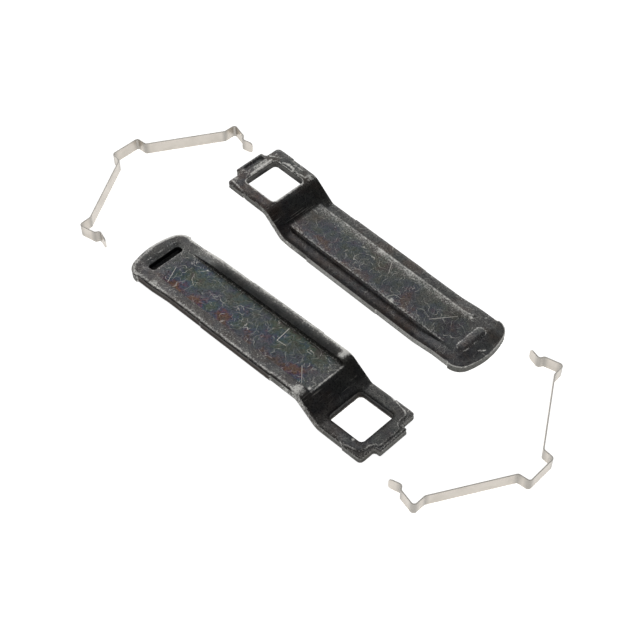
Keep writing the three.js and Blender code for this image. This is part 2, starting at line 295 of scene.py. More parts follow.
def distance_to(points, loop):
    """Distance from each point to a closed polyline."""
    best = np.full(len(points), 1e9)
    for a, b in zip(loop, np.roll(loop, -1, axis=0)):
        edge = b - a
        t = np.clip((points - a) @ edge / (edge @ edge), 0.0, 1.0)
        gap = points - a - t[:, None] * edge
        best = np.minimum(best, np.hypot(gap[:, 0], gap[:, 1]))
    return best


def inside(points, loop):
    """Even-odd test of each point against a closed polyline."""
    found = np.zeros(len(points), bool)
    x, y = points[:, 0], points[:, 1]
    for (ax, ay), (bx, by) in zip(loop, np.roll(loop, -1, axis=0)):
        if ay == by:
            continue
        crosses = (ay > y) != (by > y)
        at = ax + (y - ay) * (bx - ax) / (by - ay)
        found ^= crosses & (x < at)
    return found


# ---- The bar's two faces ----
def rounded_path(corners, radii, steps):
    """Stations (x, y, heading) along a path whose inner corners are rounded."""
    points = [np.array(c, float) for c in corners]
    stations = []
    for i, point in enumerate(points):
        before, after = points[max(i - 1, 0)], points[min(i + 1, len(points) - 1)]
        if i in (0, len(points) - 1):
            ahead = after - before
            stations.append((*point, math.atan2(ahead[1], ahead[0])))
            continue
        into, out = point - before, after - point
        turn = math.atan2(into[0] * out[1] - into[1] * out[0], into @ out)
        into /= np.linalg.norm(into)
        radius, side = radii[i - 1], math.copysign(1.0, turn)
        start = point - into * radius * math.tan(abs(turn) / 2)
        centre = start + side * radius * np.array([-into[1], into[0]])
        first = math.atan2(into[1], into[0])
        for k in range(steps + 1):
            heading = first + turn * k / steps
            spoke = side * radius * np.array([math.sin(heading), -math.cos(heading)])
            stations.append((*(centre + spoke), heading))
    return np.array(stations)


def side_curves():
    """The sheet's channel side and rib side in side view, as two polylines of (x, z)."""
    middle = SHEET / 2
    corners = [
        (-12.0, JOGGLE + middle), (JOGGLE_FROM, JOGGLE + middle), (JOGGLE_TO, middle),
        (END_RAMP[0], middle), (END_RAMP[1], END_RISE + middle), (BAR_END + 8.0, END_RISE + middle),
    ]
    path = rounded_path(corners, [BEND_RADIUS, BEND_RADIUS, RAMP_RADIUS, RAMP_RADIUS], 16)
    normal = np.stack([-np.sin(path[:, 2]), np.cos(path[:, 2])], axis=1)
    return path[:, :2] - middle * normal, path[:, :2] + middle * normal


UNDER_CURVE, OVER_CURVE = side_curves()


def rib_level(x):
    fade = np.clip((x - RIB_FADE[0]) / (RIB_FADE[1] - RIB_FADE[0]), 0.0, 1.0)
    return RIB_RISE + (END_RISE - RIB_RISE) * fade


def tip_fall(x, y):
    across = 1.0 - 0.6 * np.clip(np.abs(y) / HEAD_HALF, 0.0, 1.0) ** 2
    return TIP_CURL * smooth(*TIP_CURL_SPAN, x) * across


def edge_fall(distance, roll):
    """How far a rolled edge has dropped at a distance inside the outline."""
    width, depth, power = roll
    return depth * np.clip(1.0 - distance / width, 0.0, 1.0) ** power


def coin_inset(x, y, to_edge):
    """Distance inside the coined ledge's inner line, negative on the ledge."""
    cx, cy = COIN_CORNER
    side_y = np.abs(y)
    turned = EAR_HALF - cy - np.hypot(cx - x, side_y - cy)
    inset = np.where((x < cx) & (side_y > cy), turned, to_edge)
    width = COIN_WIDTH * np.clip((COIN_RUN_OUT[0] - x) / (COIN_RUN_OUT[0] - COIN_RUN_OUT[1]), 0.0, 1.0)
    return inset - width


def coin_fall(x, y, to_edge):
    """Depth of the coined ledge round the ears and the tongue, with a trench where the tongue leaves it."""
    inset = coin_inset(x, y, to_edge)
    reach = smooth(12.5, 11.0, x)
    trench = 0.4 * line_glow(inset + 0.55, 0.4) * smooth(8.0, 6.5, np.abs(y)) * (x < 0.5)
    return reach * (COIN_DEPTH * smooth(0.1, -0.3, inset) + 0.06 * np.maximum(-inset, 0.0)) + trench


def slot_distance(x, y, size, corner):
    """Signed distance to a rounded rectangle at the pocket's centre, negative inside."""
    dx = np.abs(x - POCKET_X) - (size[0] / 2 - corner)
    dy = np.abs(y) - (size[1] / 2 - corner)
    outside = np.hypot(np.maximum(dx, 0.0), np.maximum(dy, 0.0))
    return outside + np.minimum(np.maximum(dx, dy), 0.0) - corner


def pocket_distance(x, y):
    return slot_distance(x, y, POCKET_SIZE, POCKET_CORNER)


def bump_distance(x, y):
    return slot_distance(x, y, BUMP_SIZE, BUMP_SIZE[0] / 2)


def rib_swing(x, y):
    """How far the rib's crest swings outwards towards the rounded end."""
    share = np.clip((x - RIB_TAPER[0]) / (RIB_TAPER[1] - RIB_TAPER[0]), 0.0, 1.0)
    return np.where(y > 0, RIB_SWING, -0.3) * share ** 2


def under_height(x, y, to_edge, to_hole):
    """Channel side of the bar."""
    base = np.interp(x, UNDER_CURVE[:, 0], UNDER_CURVE[:, 1])
    wall = smooth(CHANNEL_WALL[1], CHANNEL_WALL[0], np.abs(y))
    z = base + wall * soft_positive(rib_level(x) - base, 0.3)
    z += edge_fall(to_edge, ROLL_UNDER) + coin_fall(x, y, to_edge) + 0.6 * edge_fall(to_hole, ROLL_HOLE)
    rim = pocket_distance(x, y)
    lee = smooth(POCKET_X, POCKET_X + 2.0, x)
    z += (0.08 + 0.30 * lee) * np.clip(1.0 - np.maximum(rim, 0.0) / (0.5 + POCKET_LEE * lee), 0.0, 1.0) ** 1.4
    z += (POCKET_DEPTH - 0.4 * lee) * smooth(0.0, -0.35, rim)
    return z - tip_fall(x, y)


def over_height(x, y, to_edge, to_hole):
    """Rib side of the bar."""
    base = np.interp(x, OVER_CURVE[:, 0], OVER_CURVE[:, 1]) - SHEET
    swing = rib_swing(x, y)
    wall = smooth(RIB_CREST[1] + swing, RIB_CREST[0] + swing, np.abs(y))
    z = SHEET + base + wall * soft_positive(rib_level(x) - base, 0.3)
    crisp = 1.0 - 0.6 * smooth(137.0, 141.0, x)
    width, depth, power = ROLL_OVER
    z -= edge_fall(to_edge, (width * crisp, depth * crisp, power)) + edge_fall(to_hole, ROLL_HOLE)
    corner = np.hypot(x, np.abs(y) - EAR_HALF)
    z -= CORNER_ROLL[1] * np.clip(1.0 - corner / CORNER_ROLL[0], 0.0, 1.0) ** 2
    z += BUMP_RISE * smooth(0.0, -BUMP_ROUND, bump_distance(x, y))
    root_trench = span(x, -1.9, -1.3, 0.2, 0.7) * span(y, -5.2, -4.2, 5.8, 6.6)
    tool_mark = np.exp(-(((x - 1.5) / 1.2) ** 2 + ((y - 11.7) / 0.8) ** 2) ** 1.5)
    return z - 0.8 * root_trench - 0.3 * tool_mark - tip_fall(x, y)


# ---- Meshing ----
def grid(start, end, dx, dy):
    """Staggered points over a stretch of the bar, as wide as its widest part."""
    xs = np.arange(start, end, dx)
    ys = np.arange(-HEAD_HALF, HEAD_HALF + 1e-6, dy)
    gx, gy = np.meshgrid(xs, ys)
    gx = gx + (np.arange(len(ys)) % 2)[:, None] * dx / 2
    return np.stack([gx.ravel(), gy.ravel()], axis=1)


def plan_points(outline, hole, wall):
    """Points inside the blank: dense where the shape turns, open elsewhere."""
    kept = []
    for start, end, dx, dy, margin in GRIDS:
        points = grid(start, end, dx, dy)
        clear = inside(points, outline) & ~inside(points, hole)
        clear &= (distance_to(points, outline) > margin) & (distance_to(points, hole) > margin)
        x, side_y = points[:, 0], np.abs(points[:, 1])
        beside_wall = (x > 31.0) & (x < 134.0) & (side_y > wall[0] - 0.6) & (side_y < wall[1] + 0.6)
        kept.append(points[clear & ~beside_wall])
    xs = np.arange(31.3, 133.6, 0.9)
    for share in np.linspace(-0.35, 1.35, 15):
        y = wall[0] + (wall[1] - wall[0]) * share
        for side in (-1.0, 1.0):
            kept.append(np.stack([xs, np.full(len(xs), side * y)], axis=1))
    for loop, other, insets, side in ((outline, hole, EDGE_INSETS, 1.0), (hole, outline, HOLE_INSETS, -1.0)):
        for inset in insets:
            ring = loop + side * inset * left_normals(loop)
            kept.append(ring[(distance_to(ring, loop) > inset * 0.93) & (distance_to(ring, other) > 0.9)])
    return np.concatenate(kept)


def pocket_points():
    """Loops of points down the pocket's wall."""
    loops = []
    for rim in POCKET_RINGS:
        size = (POCKET_SIZE[0] + 2 * rim, POCKET_SIZE[1] + 2 * rim)
        loop = rounded_rectangle((POCKET_X, 0.0), size, POCKET_CORNER + rim)
        loops.append(resampled(loop, POCKET_STEP))
    return np.concatenate(loops)


def triangulate(outline, hole, points):
    """Conforming triangles over the blank. Outline points come first, then the hole's, then the rest."""
    loops = [outline, hole]
    everything = np.concatenate([*loops, points])
    edges, start = [], 0
    for loop in loops:
        count = len(loop)
        edges += [(start + i, start + (i + 1) % count) for i in range(count)]
        start += count
    result = delaunay_2d_cdt([Vector(p) for p in everything], edges, [], 0, 1e-5)
    xy = np.array([tuple(v) for v in result[0]])
    triangles = np.array(result[2])
    middle = xy[triangles].mean(axis=1)
    triangles = triangles[inside(middle, outline) & ~inside(middle, hole)]
    # The triangulation may merge or reorder points, so each loop point is followed to its new number.
    home = {old: new for new, originals in enumerate(result[3]) for old in originals}
    numbers = [home[i] for i in range(len(outline) + len(hole))]
    return xy, triangles, (numbers[:len(outline)], numbers[len(outline):])


def bar_parts():
    """Vertices, triangles and surface facts of the bar in its own frame.

    Each vertex's facts are: 1 on the cut edge, else 0; its share of the way from the channel side to the
    rib side; its distance to the outline; its distance to the hole.
    """
    outline = resampled(bar_outline(), OUTLINE_STEP)
    hole = resampled(rounded_rectangle(HOLE_CENTRE, (HOLE_SIZE, HOLE_SIZE), HOLE_RADIUS), HOLE_STEP)
    under_plan = plan_points(outline, hole, CHANNEL_WALL)
    rim = pocket_distance(under_plan[:, 0], under_plan[:, 1])
    under_plan = np.concatenate([under_plan[(rim > 1.1) | (rim < -0.6)], pocket_points()])
    over_plan = plan_points(outline, hole, RIB_CREST)
    verts, tris, facts = np.empty((0, 3)), [], []
    rings = []
    for plan, height, share in ((under_plan, under_height, 0.0), (over_plan, over_height, 1.0)):
        xy, triangles, loops = triangulate(outline, hole, plan)
        to_edge, to_hole = distance_to(xy, outline), distance_to(xy, hole)
        z = height(xy[:, 0], xy[:, 1], to_edge, to_hole)
        tris.append((triangles if share else triangles[:, ::-1]) + len(verts))
        rings.append([[i + len(verts) for i in loop] for loop in loops])
        facts.append(np.column_stack([np.zeros(len(xy)), np.full(len(xy), share), to_edge, to_hole]))
        verts = np.concatenate([verts, np.column_stack([xy, z])])
    for low_ids, high_ids, outward in zip(*rings, (1.0, -1.0)):
        made, walls, wall_facts = wall_between(verts, low_ids, high_ids, outward)
        verts = np.concatenate([verts, made])
        tris.append(walls)
        facts.append(wall_facts)
    return verts, np.concatenate(tris), np.concatenate(facts)


def wall_between(skin, low_ids, high_ids, outward):
    """Cut edge of the sheet: a torn zone on the channel side and a smooth sheared zone on the rib side."""
    low, high = skin[low_ids], skin[high_ids]
    plan = low[:, :2]
    inward = outward * left_normals(plan)
    count = len(low)
    along = np.cumsum(np.linalg.norm(np.roll(plan, -1, axis=0) - plan, axis=1))
    to_edge, to_hole = (0.0, AWAY) if outward > 0 else (AWAY, 0.0)
    made, facts, ids = [], [], [list(low_ids)]
    for k, (share, depth) in enumerate(zip(CUT_SHARES, CUT_DEPTHS)):
        wander = 1.0 + 0.5 * np.sin(along * 1.7 + 2.0 * k) * np.sin(along * 0.61 + k)
        ring = low + (high - low) * share
        ring[:, :2] += inward * (depth * wander)[:, None]
        made.append(ring)
        facts.append(np.tile([1.0, share, to_edge, to_hole], (count, 1)))
        ids.append([len(skin) + k * count + i for i in range(count)])
    ids.append(list(high_ids))
    walls = []
    for lower, upper in zip(ids[:-1], ids[1:]):
        for i in range(count):
            j = (i + 1) % count
            quad = (lower[i], lower[j], upper[j], upper[i])
            if outward < 0:
                quad = quad[::-1]
            walls += [quad[:3], (quad[0], *quad[2:])]
    return np.concatenate(made), np.array(walls), np.concatenate(facts)


# ---- Placing ----
def turned(a, b, angle):
    c, s = math.cos(angle), math.sin(angle)
    return c * a - s * b, s * a + c * b


def placed(own, spot, turn_over=0.0):
    """Own-frame millimetres to row-frame metres: turned over if asked, resting on the floor, at its spot."""
    x, y, z = own.T
    if turn_over:
        y = -y
        z, x = turned(-z, x, turn_over)
    x, y = turned(x, y, math.radians(spot[2]))
    return np.column_stack([x + spot[0], y + spot[1], z - z.min()]) * MM


def resting_tilt():
    """Tilt of the turned-over bar, lying on its outer bend and on its bump."""
    fall = math.atan(JOGGLE / (JOGGLE_TO - JOGGLE_FROM))
    bend_x = JOGGLE_FROM - BEND_RADIUS * math.tan(fall / 2)
    bump_x = POCKET_X + BUMP_SIZE[0] / 2 - BUMP_SLOPE
    drop = JOGGLE - END_RISE - BUMP_RISE
    return math.asin(drop / math.hypot(bump_x - bend_x, drop))


def mesh_object(name, points, faces):
    mesh = bpy.data.meshes.new(name)
    mesh.from_pydata([tuple(p) for p in points], [], [tuple(int(i) for i in f) for f in faces])
    mesh.update()
    mesh.polygons.foreach_set("use_smooth", [True] * len(mesh.polygons))
    piece = bpy.data.objects.new(name, mesh)
    bpy.context.scene.collection.objects.link(piece)
    return piece


def put_attribute(piece, name, values):
    """Stores a number or a vector for each vertex."""
    values = np.asarray(values, np.float32)
    kind, key = ("FLOAT", "value") if values.ndim == 1 else ("FLOAT_VECTOR", "vector")
    piece.data.attributes.new(name, kind, "POINT").data.foreach_set(key, values.ravel())


# ---- Wear ----
def line_glow(value, width):
    """1 where value is 0, fading over a width."""
    return np.exp(-(value / width) ** 2)


def spot_glow(x, y, spots):
    """Sum of soft round spots: x, y, radius, strength."""
    return sum(strength * line_glow(np.hypot(x - cx, y - cy), radius) for cx, cy, radius, strength in spots)


def streak_glow(x, y, streaks):
    """Sum of soft straight lines: start, end, half width, strength."""
    total = 0.0
    for (ax, ay), (bx, by), width, strength in streaks:
        run_x, run_y = bx - ax, by - ay
        t = np.clip(((x - ax) * run_x + (y - ay) * run_y) / (run_x ** 2 + run_y ** 2), 0.0, 1.0)
        total = total + strength * line_glow(np.hypot(x - ax - t * run_x, y - ay - t * run_y), width)
    return total


def on_plate(x):
    return smooth(26.0, 24.0, x)


def rib_side_wear(x, y, to_edge, to_hole):
    side_y = np.abs(y)
    far, near = y > 0, y < 0
    along_rib = span(x, 34.0, 37.0, 129.5, 132.0)
    crest = side_y - 9.75 + 0.35 * far - rib_swing(x, y)
    wear = 0.7 * line_glow(to_hole - 0.3, 0.35) + 0.35 * line_glow(x - 25.8, 0.45)
    wear += (0.38 + 0.04 * far) * line_glow(crest, 0.40) * along_rib
    wear += (0.22 + 0.10 * far) * line_glow(crest + 1.2, 1.2 + 0.6 * far) * along_rib
    wear += (0.65 + 0.25 * np.sin(1.1 * y + 0.7)) * line_glow(bump_distance(x, y) + 0.35, 0.3)
    wear += 0.8 * line_glow(to_edge - 0.1, 0.25) * smooth(138.0, 141.0, x)
    wear += (0.35 - 0.30 * near * (1.0 - on_plate(x))) * line_glow(to_edge - 0.15, 0.3)
    wear += 0.45 * line_glow(x - 1.6, 0.4) * smooth(8.0, 6.0, side_y)
    return wear + spot_glow(x, y, RIB_SIDE_SPOTS) + streak_glow(x, y, RIB_SIDE_STREAKS)


def channel_side_wear(x, y, to_edge):
    side_y = np.abs(y)
    far, near = y > 0, y < 0
    on_flange = smooth(10.3, 11.2, side_y)
    past_joggle = smooth(36.0, 40.0, x)
    wear = (0.55 + 0.25 * far) * line_glow(x - 38.2, 1.7) * on_flange
    wear += 0.6 * line_glow(x - 34.9, 0.5) * smooth(10.6, 9.8, side_y)
    wear += 0.75 * far * line_glow(to_edge - 0.5, 0.85) * past_joggle
    wear += 0.50 * near * line_glow(to_edge - 1.3, 0.50) * past_joggle
    wear += 0.20 * near * line_glow(to_edge - 2.2, 0.90) * past_joggle
    wear += 0.16 * line_glow(y + 10.0, 0.6) * span(x, 36.0, 38.0, 130.0, 134.0)
    wear += 0.12 * far * line_glow(x - 122.0, 6.0) * on_flange
    wear += 0.35 * line_glow(to_edge - 0.6, 0.7) * smooth(137.0, 141.0, x)
    wear += 0.4 * line_glow(to_edge - 0.2, 0.3) * smooth(37.0, 36.0, x)
    coin_line = line_glow(coin_inset(x, y, to_edge) - 0.1, 0.33) * smooth(13.0, 12.0, x)
    wear += (0.72 + 0.2 * np.sin(0.8 * y + 0.9 * x)) * coin_line
    rim = pocket_distance(x, y)
    lee_line = line_glow(rim - POCKET_LEE, 0.28) * smooth(POCKET_X + 1.5, POCKET_X + 3.0, x)
    wear += (0.35 + 0.25 * np.sin(0.9 * y)) * lee_line
    wear += 0.4 * line_glow(rim - 0.3, 0.3) * (x < POCKET_X)
    return wear + spot_glow(x, y, CHANNEL_SIDE_SPOTS) + streak_glow(x, y, CHANNEL_SIDE_STREAKS)


def wear_of(own, facts):
    """Where handling has rubbed the black finish: hole rims, rolled edges, bend crests and rib crests."""
    x, y = own[:, 0], own[:, 1]
    wall, share, to_edge, to_hole = facts.T
    rib_side = rib_side_wear(x, y, to_edge, to_hole)
    faces = np.where(share > 0.5, rib_side, channel_side_wear(x, y, to_edge))
    steps = sum(line_glow(x - at - STEP_LENGTH / 2, 0.3) for at in (NECK_X, BODY_X, TAIL_X, HEAD_X))
    joggle_side = 0.30 * span(x, 18.0, 24.0, 45.0, 52.0) * (y < 0)
    sides = (0.65 * steps + joggle_side) * (to_edge < 1.0)
    return np.clip(np.where(wall > 0.5, sides, faces), 0.0, 1.0)


def painted_shade_and_openness_of(own, facts):
    """Painted shade, and how open each place is to rubbing: 1 on flats, lower where shade is painted into the
    colour on the joggle's slope, the walls, behind the bump, the flanges, the hole rim and the pocket.
    """
    x, y = own[:, 0], own[:, 1]
    to_edge, to_hole = facts[:, 2], facts[:, 3]
    over = facts[:, 1] > 0.5
    side_y = np.abs(y)
    along = span(x, 34.0, 37.0, 130.0, 134.0)
    # Painted shade: each term below darkens the base colour where it lies.
    shade = 0.7 * span(x, 26.0, 28.5, 34.0, 36.0)
    shade += np.where(over, 0.7 * line_glow(side_y - 10.65, 0.32), 0.25 * line_glow(y - 10.3, 0.25)) * along
    behind_bump = span(x, 141.0, 142.0, 147.0, 148.5) * smooth(13.0, 9.0, side_y)
    near_flange = smooth(-12.2, -15.2, y) * along
    shade += np.where(over, 0.45 * behind_bump + 0.5 * near_flange, 0.0)
    far_flange = span(y, 10.2, 10.6, 11.6, 15.3) * span(x, 36.0, 42.0, 112.0, 122.0)
    near_edge = line_glow(to_edge, 0.75) * (y < 0) * span(x, 36.0, 40.0, 134.0, 138.0)
    hole_rim = line_glow(to_hole - 0.1, 1.0)
    shade += np.where(over, 0.0, 1.05 * far_flange + 0.45 * near_edge + hole_rim)
    shade += np.where(over, 0.0, 0.95 * smooth(0.1, -0.1, pocket_distance(x, y)))
    return np.clip(1.0 - shade, -0.6, 1.0)


def scratching_of(own, facts):
    """How dense the hairlines are: most on the channel floor, fewer on the rib, few on flanges and ends."""
    x, y = own[:, 0], own[:, 1]
    floor = smooth(9.8, 9.2, np.abs(y)) * span(x, 34.0, 36.0, 130.0, 138.0)
    open_to = np.clip(painted_shade_and_openness_of(own, facts), 0.2, 1.0)
    rib_side = 0.5 + 0.3 * floor + 0.4 * on_plate(x)
    return np.where(facts[:, 1] > 0.5, rib_side, 0.4 + 0.6 * floor) * open_to


def crust_and_painted_light_of(own, facts):
    """How thick the fine light specks lie, with painted light added on the channel side's far wall and outer
    far flange.
    """
    x, y = own[:, 0], own[:, 1]
    over, to_edge = facts[:, 1] > 0.5, facts[:, 2]
    side_y = np.abs(y)
    along = span(x, 35.0, 38.0, 130.0, 134.0)
    flange = smooth(10.5, 11.3, side_y) * along
    crest = line_glow(side_y - 8.2, 1.8) * along
    rib_side = 0.20 - 0.08 * on_plate(x) + 0.15 * crest + 0.22 * line_glow(y - 7.4, 2.2) * along
    rib_side += (0.15 - 0.12 * (y < 0)) * line_glow(to_edge, 1.4)
    near_flange, far_flange = flange * (y < 0), flange * (y > 0)
    floor = smooth(9.8, 9.2, side_y) * along
    channel_side = 0.22 - 0.10 * floor + 0.18 * near_flange + 0.22 * line_glow(to_edge - 0.4, 1.0)
    channel_side += 0.08 * smooth(128.0, 133.0, x) + 0.18 * far_flange * smooth(108.0, 118.0, x)
    channel_side += 0.25 * line_glow(x - 38.5, 3.0) * flange + 0.25 * floor * smooth(50.0, 38.0, x)
    channel_side += 0.20 * line_glow(to_edge - 0.6, 1.2) * smooth(136.0, 141.0, x)
    channel_side += 0.15 * smooth(0.1, -0.3, coin_inset(x, y, to_edge)) * smooth(12.0, 10.0, x)
    crust_and_painted_light = np.where(over, rib_side, channel_side) * np.clip(painted_shade_and_openness_of(own, facts) + 0.1, 0.0, 1.0)
    # Painted light: lightens the channel side's far wall and the outer part of its far flange.
    painted_light_lift = 0.7 * line_glow(y - 9.75, 0.35) * along + 0.28 * smooth(12.2, 14.8, y) * far_flange
    return np.clip(crust_and_painted_light + np.where(over, 0.0, painted_light_lift), 0.0, 1.0)


def bar_piece(name, spot, turn_over, shape):
    own, triangles, facts = shape
    wall, share, to_edge = facts.T[:3]
    # Painted shade for the colour, which also thins the crust and the hairlines.
    openness_and_painted_shade = painted_shade_and_openness_of(own, facts)
    if turn_over:
        # The rib side lies down: painted shade blackens its rolled edge.
        openness_and_painted_shade -= 1.2 * (share > 0.9) * line_glow(to_edge, 1.2)
    piece = mesh_object(name, placed(own, spot, turn_over), triangles)
    for key, values in (
        ("own", own),
        ("wear", wear_of(own, facts)),
        ("openness_and_painted_shade", openness_and_painted_shade),
        ("scratching", scratching_of(own, facts)),
        ("crust_and_painted_light", crust_and_painted_light_of(own, facts)),
        ("drawn", span(own[:, 0], 26.5, 28.5, 34.5, 36.0)),
        ("cut_edge", wall),
        ("bore", wall * (to_edge > 1.0)),
        ("share", share),
    ):
        put_attribute(piece, key, values)
    return piece


# ---- Strip spring ----
def strip_section(loss):
    """Rounded section of the strip: offsets across and heights, with the tab's corner taken off."""
    half, turn = STRIP / 2, 0.3 * STRIP_ROUND
    corner = [(half, STRIP_ROUND), (half - turn, turn), (half - STRIP_ROUND, 0.0)]
    edge = [(-across, z) for across, z in corner] + corner[::-1]
    lower = [(across, loss + z) for across, z in edge]
    return lower + [(-across, STRIP_HEIGHT - loss - z) for across, z in edge]


def spring_piece(name, spot):
    corners = [(-x, y) for x, y in reversed(HALF_SPRING)] + HALF_SPRING
    stations = rounded_path(corners, [STRIP_RADIUS] * (len(corners) - 2), STRIP_BEND_STEPS)
    fine = []
    for a, b in zip(stations[:-1], stations[1:]):
        steps = max(1, int(np.linalg.norm(b[:2] - a[:2]) / STRIP_SPACING))
        fine += [a + (b - a) * i / steps for i in range(steps)]
    fine.append(stations[-1])
    fine = np.array(fine)
    run = np.concatenate([[0.0], np.cumsum(np.linalg.norm(np.diff(fine[:, :2], axis=0), axis=1))])
    tab = TAB_RADIUS * (1.0 - np.cos(np.linspace(0.05, 1.0, 8) * math.pi / 2))
    between = run[(run > TAB_RADIUS) & (run < run[-1] - TAB_RADIUS)]
    marks = np.concatenate([tab, between, (run[-1] - tab)[::-1]])
    columns = [np.interp(marks, run, fine[:, k]) for k in range(3)]
    points, faces = [], []
    for x, y, heading, mark in zip(*columns, marks):
        reach = max(0.0, TAB_RADIUS - min(mark, run[-1] - mark))
        loss = TAB_RADIUS - math.sqrt(max(0.0, TAB_RADIUS ** 2 - reach ** 2))
        for across, z in strip_section(loss):
            points.append((x - math.sin(heading) * across, y + math.cos(heading) * across, z))
    section = strip_section(0.0)
    count = len(section)
    for r in range(len(marks) - 1):
        for i in range(count):
            a, b = r * count + i, r * count + (i + 1) % count
            faces.append((a, a + count, b + count, b))
    last = (len(marks) - 1) * count
    faces += [tuple(range(count)), tuple(reversed(range(last, last + count)))]
    own = np.array(points)
    piece = mesh_object(name, placed(own, spot), faces)
    piece.data.set_sharp_from_angle(angle=math.radians(STRIP_SHARP))
    along = np.repeat(marks, count)
    side = np.tile([across for across, z in section], len(marks))
    put_attribute(piece, "strip", np.column_stack([along, own[:, 2], side]))
    bend = np.abs(np.gradient(columns[2], marks))
    put_attribute(piece, "bend", np.repeat(np.clip(bend * STRIP_RADIUS, 0, 1), count))
    put_attribute(piece, "slit_edge", np.abs(side) < STRIP / 2 - STRIP_ROUND / 2)
    return piece


# ---- Materials ----
class Graph:
    """Adds nodes to a material and joins them."""

    def __init__(self, name):
        self.material = bpy.data.materials.new(name)
        self.material.use_nodes = True
        self.tree = self.material.node_tree
        self.shader = self.tree.nodes["Principled BSDF"]

    def set(self, socket, value):
        if isinstance(value, bpy.types.NodeSocket):
            self.tree.links.new(value, socket)
        else:
            socket.default_value = value

    def node(self, kind, inputs=(), **settings):
        made = self.tree.nodes.new(kind)
        for key, value in settings.items():
            setattr(made, key, value)
        for key, value in dict(inputs).items():
            self.set(made.inputs[key], value)
        return made

    def finished(self, values):
        """Joins each value to its shader socket, or sets it there, and gives the material."""
        for key, value in values.items():
            self.set(self.shader.inputs[key], value)
        return self.material

    def attribute(self, name, output="Fac"):
        return self.node("ShaderNodeAttribute", attribute_name=name).outputs[output]

    def math(self, operation, a, b=0.0):
        return self.node("ShaderNodeMath", {0: a, 1: b}, operation=operation).outputs[0]

    def times(self, a, b):
        return self.math("MULTIPLY", a, b)

    def plus(self, a, b):
        return self.math("ADD", a, b)

    def minus(self, a, b):
        return self.math("SUBTRACT", a, b)

    def larger(self, a, b):
        return self.math("MAXIMUM", a, b)

    def swing(self, value, middle, gain):
        """A gain times the distance from a middle."""
        return self.times(self.minus(value, middle), gain)

    def mix(self, amount, a, b):
        return self.node("ShaderNodeMix", {0: amount, 6: a, 7: b}, data_type="RGBA").outputs[2]

    def shifted(self, vector, seed, scale=(1.0, 1.0, 1.0)):
        place = (seed * 7.31, seed * 3.17, seed * 5.53)
        values = {"Vector": vector, "Location": place, "Scale": scale}
        return self.node("ShaderNodeMapping", values).outputs[0]

    def noise(self, vector, scale, detail, roughness, seed):
        place = self.shifted(vector, seed)
        values = {"Vector": place, "Scale": scale, "Detail": detail, "Roughness": roughness}
        return self.node("ShaderNodeTexNoise", values).outputs["Fac"]

    def ramp(self, value, low, high):
        """0 at low and 1 at high, held beyond them; low may be the larger."""
        return self.node("ShaderNodeMapRange", {"Value": value, "From Min": low, "From Max": high}).outputs[0]

    def vector_math(self, operation, a, b=(0.0, 0.0, 0.0), output="Vector"):
        return self.node("ShaderNodeVectorMath", {0: a, 1: b}, operation=operation).outputs[output]

    def scaled(self, vector, amount):
        return self.node("ShaderNodeVectorMath", {0: vector, "Scale": amount}, operation="SCALE").outputs[0]

    def flattened(self, vector):
        return self.vector_math("MULTIPLY", vector, FLAT)

    def hairs(self, vector, size, seed):
        """Hairline scratches: one wavering arc in each cell, with its own direction, bend and brightness."""
        values = {"Vector": self.shifted(vector, seed + 1.0), "Scale": 0.30, "Detail": 1.0}
        warp = self.node("ShaderNodeTexNoise", values).outputs["Color"]
        place = self.shifted(self.vector_math("ADD", vector, self.scaled(warp, HAIR_WAVER)), seed)
        values = {"Vector": place, "Scale": 1.0 / size}
        cells = self.node("ShaderNodeTexVoronoi", values, voronoi_dimensions="2D").outputs
        away = self.flattened(self.vector_math("SUBTRACT", place, cells["Position"]))
        aim = self.flattened(self.vector_math("SUBTRACT", cells["Color"], (0.5, 0.5, 0.5)))
        aim = self.vector_math("NORMALIZE", aim)
        draw = self.node("ShaderNodeSeparateColor", {0: cells["Color"]}).outputs[2]
        radius = self.plus(self.times(self.times(draw, draw), 3.0 * size), 0.6 * size)
        gap = self.vector_math("DISTANCE", away, self.scaled(aim, radius), "Value")
        gap = self.math("ABSOLUTE", self.minus(gap, radius))
        line = self.ramp(gap, HAIR_WIDTH, 0.3 * HAIR_WIDTH)
        reach = self.ramp(cells["Distance"], 0.52, 0.36)
        bright = self.ramp(self.math("FRACT", self.times(draw, 7.0)), 0.05, 1.2)
        return self.times(self.times(line, reach), bright)

    def stroke(self, vector, start, end, width):
        """One straight scratch between two places in the piece's own frame."""
        run = Vector((end[0] - start[0], end[1] - start[1], 0.0))
        away = self.vector_math("SUBTRACT", self.flattened(vector), (*start, 0.0))
        share = self.vector_math("DOT_PRODUCT", away, run / run.length_squared, "Value")
        nearest = self.scaled(tuple(run), self.ramp(share, 0.0, 1.0))
        return self.ramp(self.vector_math("DISTANCE", away, nearest, "Value"), width, width * 0.4)

    def bump(self, height, strength, distance, below=None):
        made = self.node("ShaderNodeBump", {"Height": height, "Strength": strength, "Distance": distance})
        if below is not None:
            self.set(made.inputs["Normal"], below)
        return made.outputs[0]


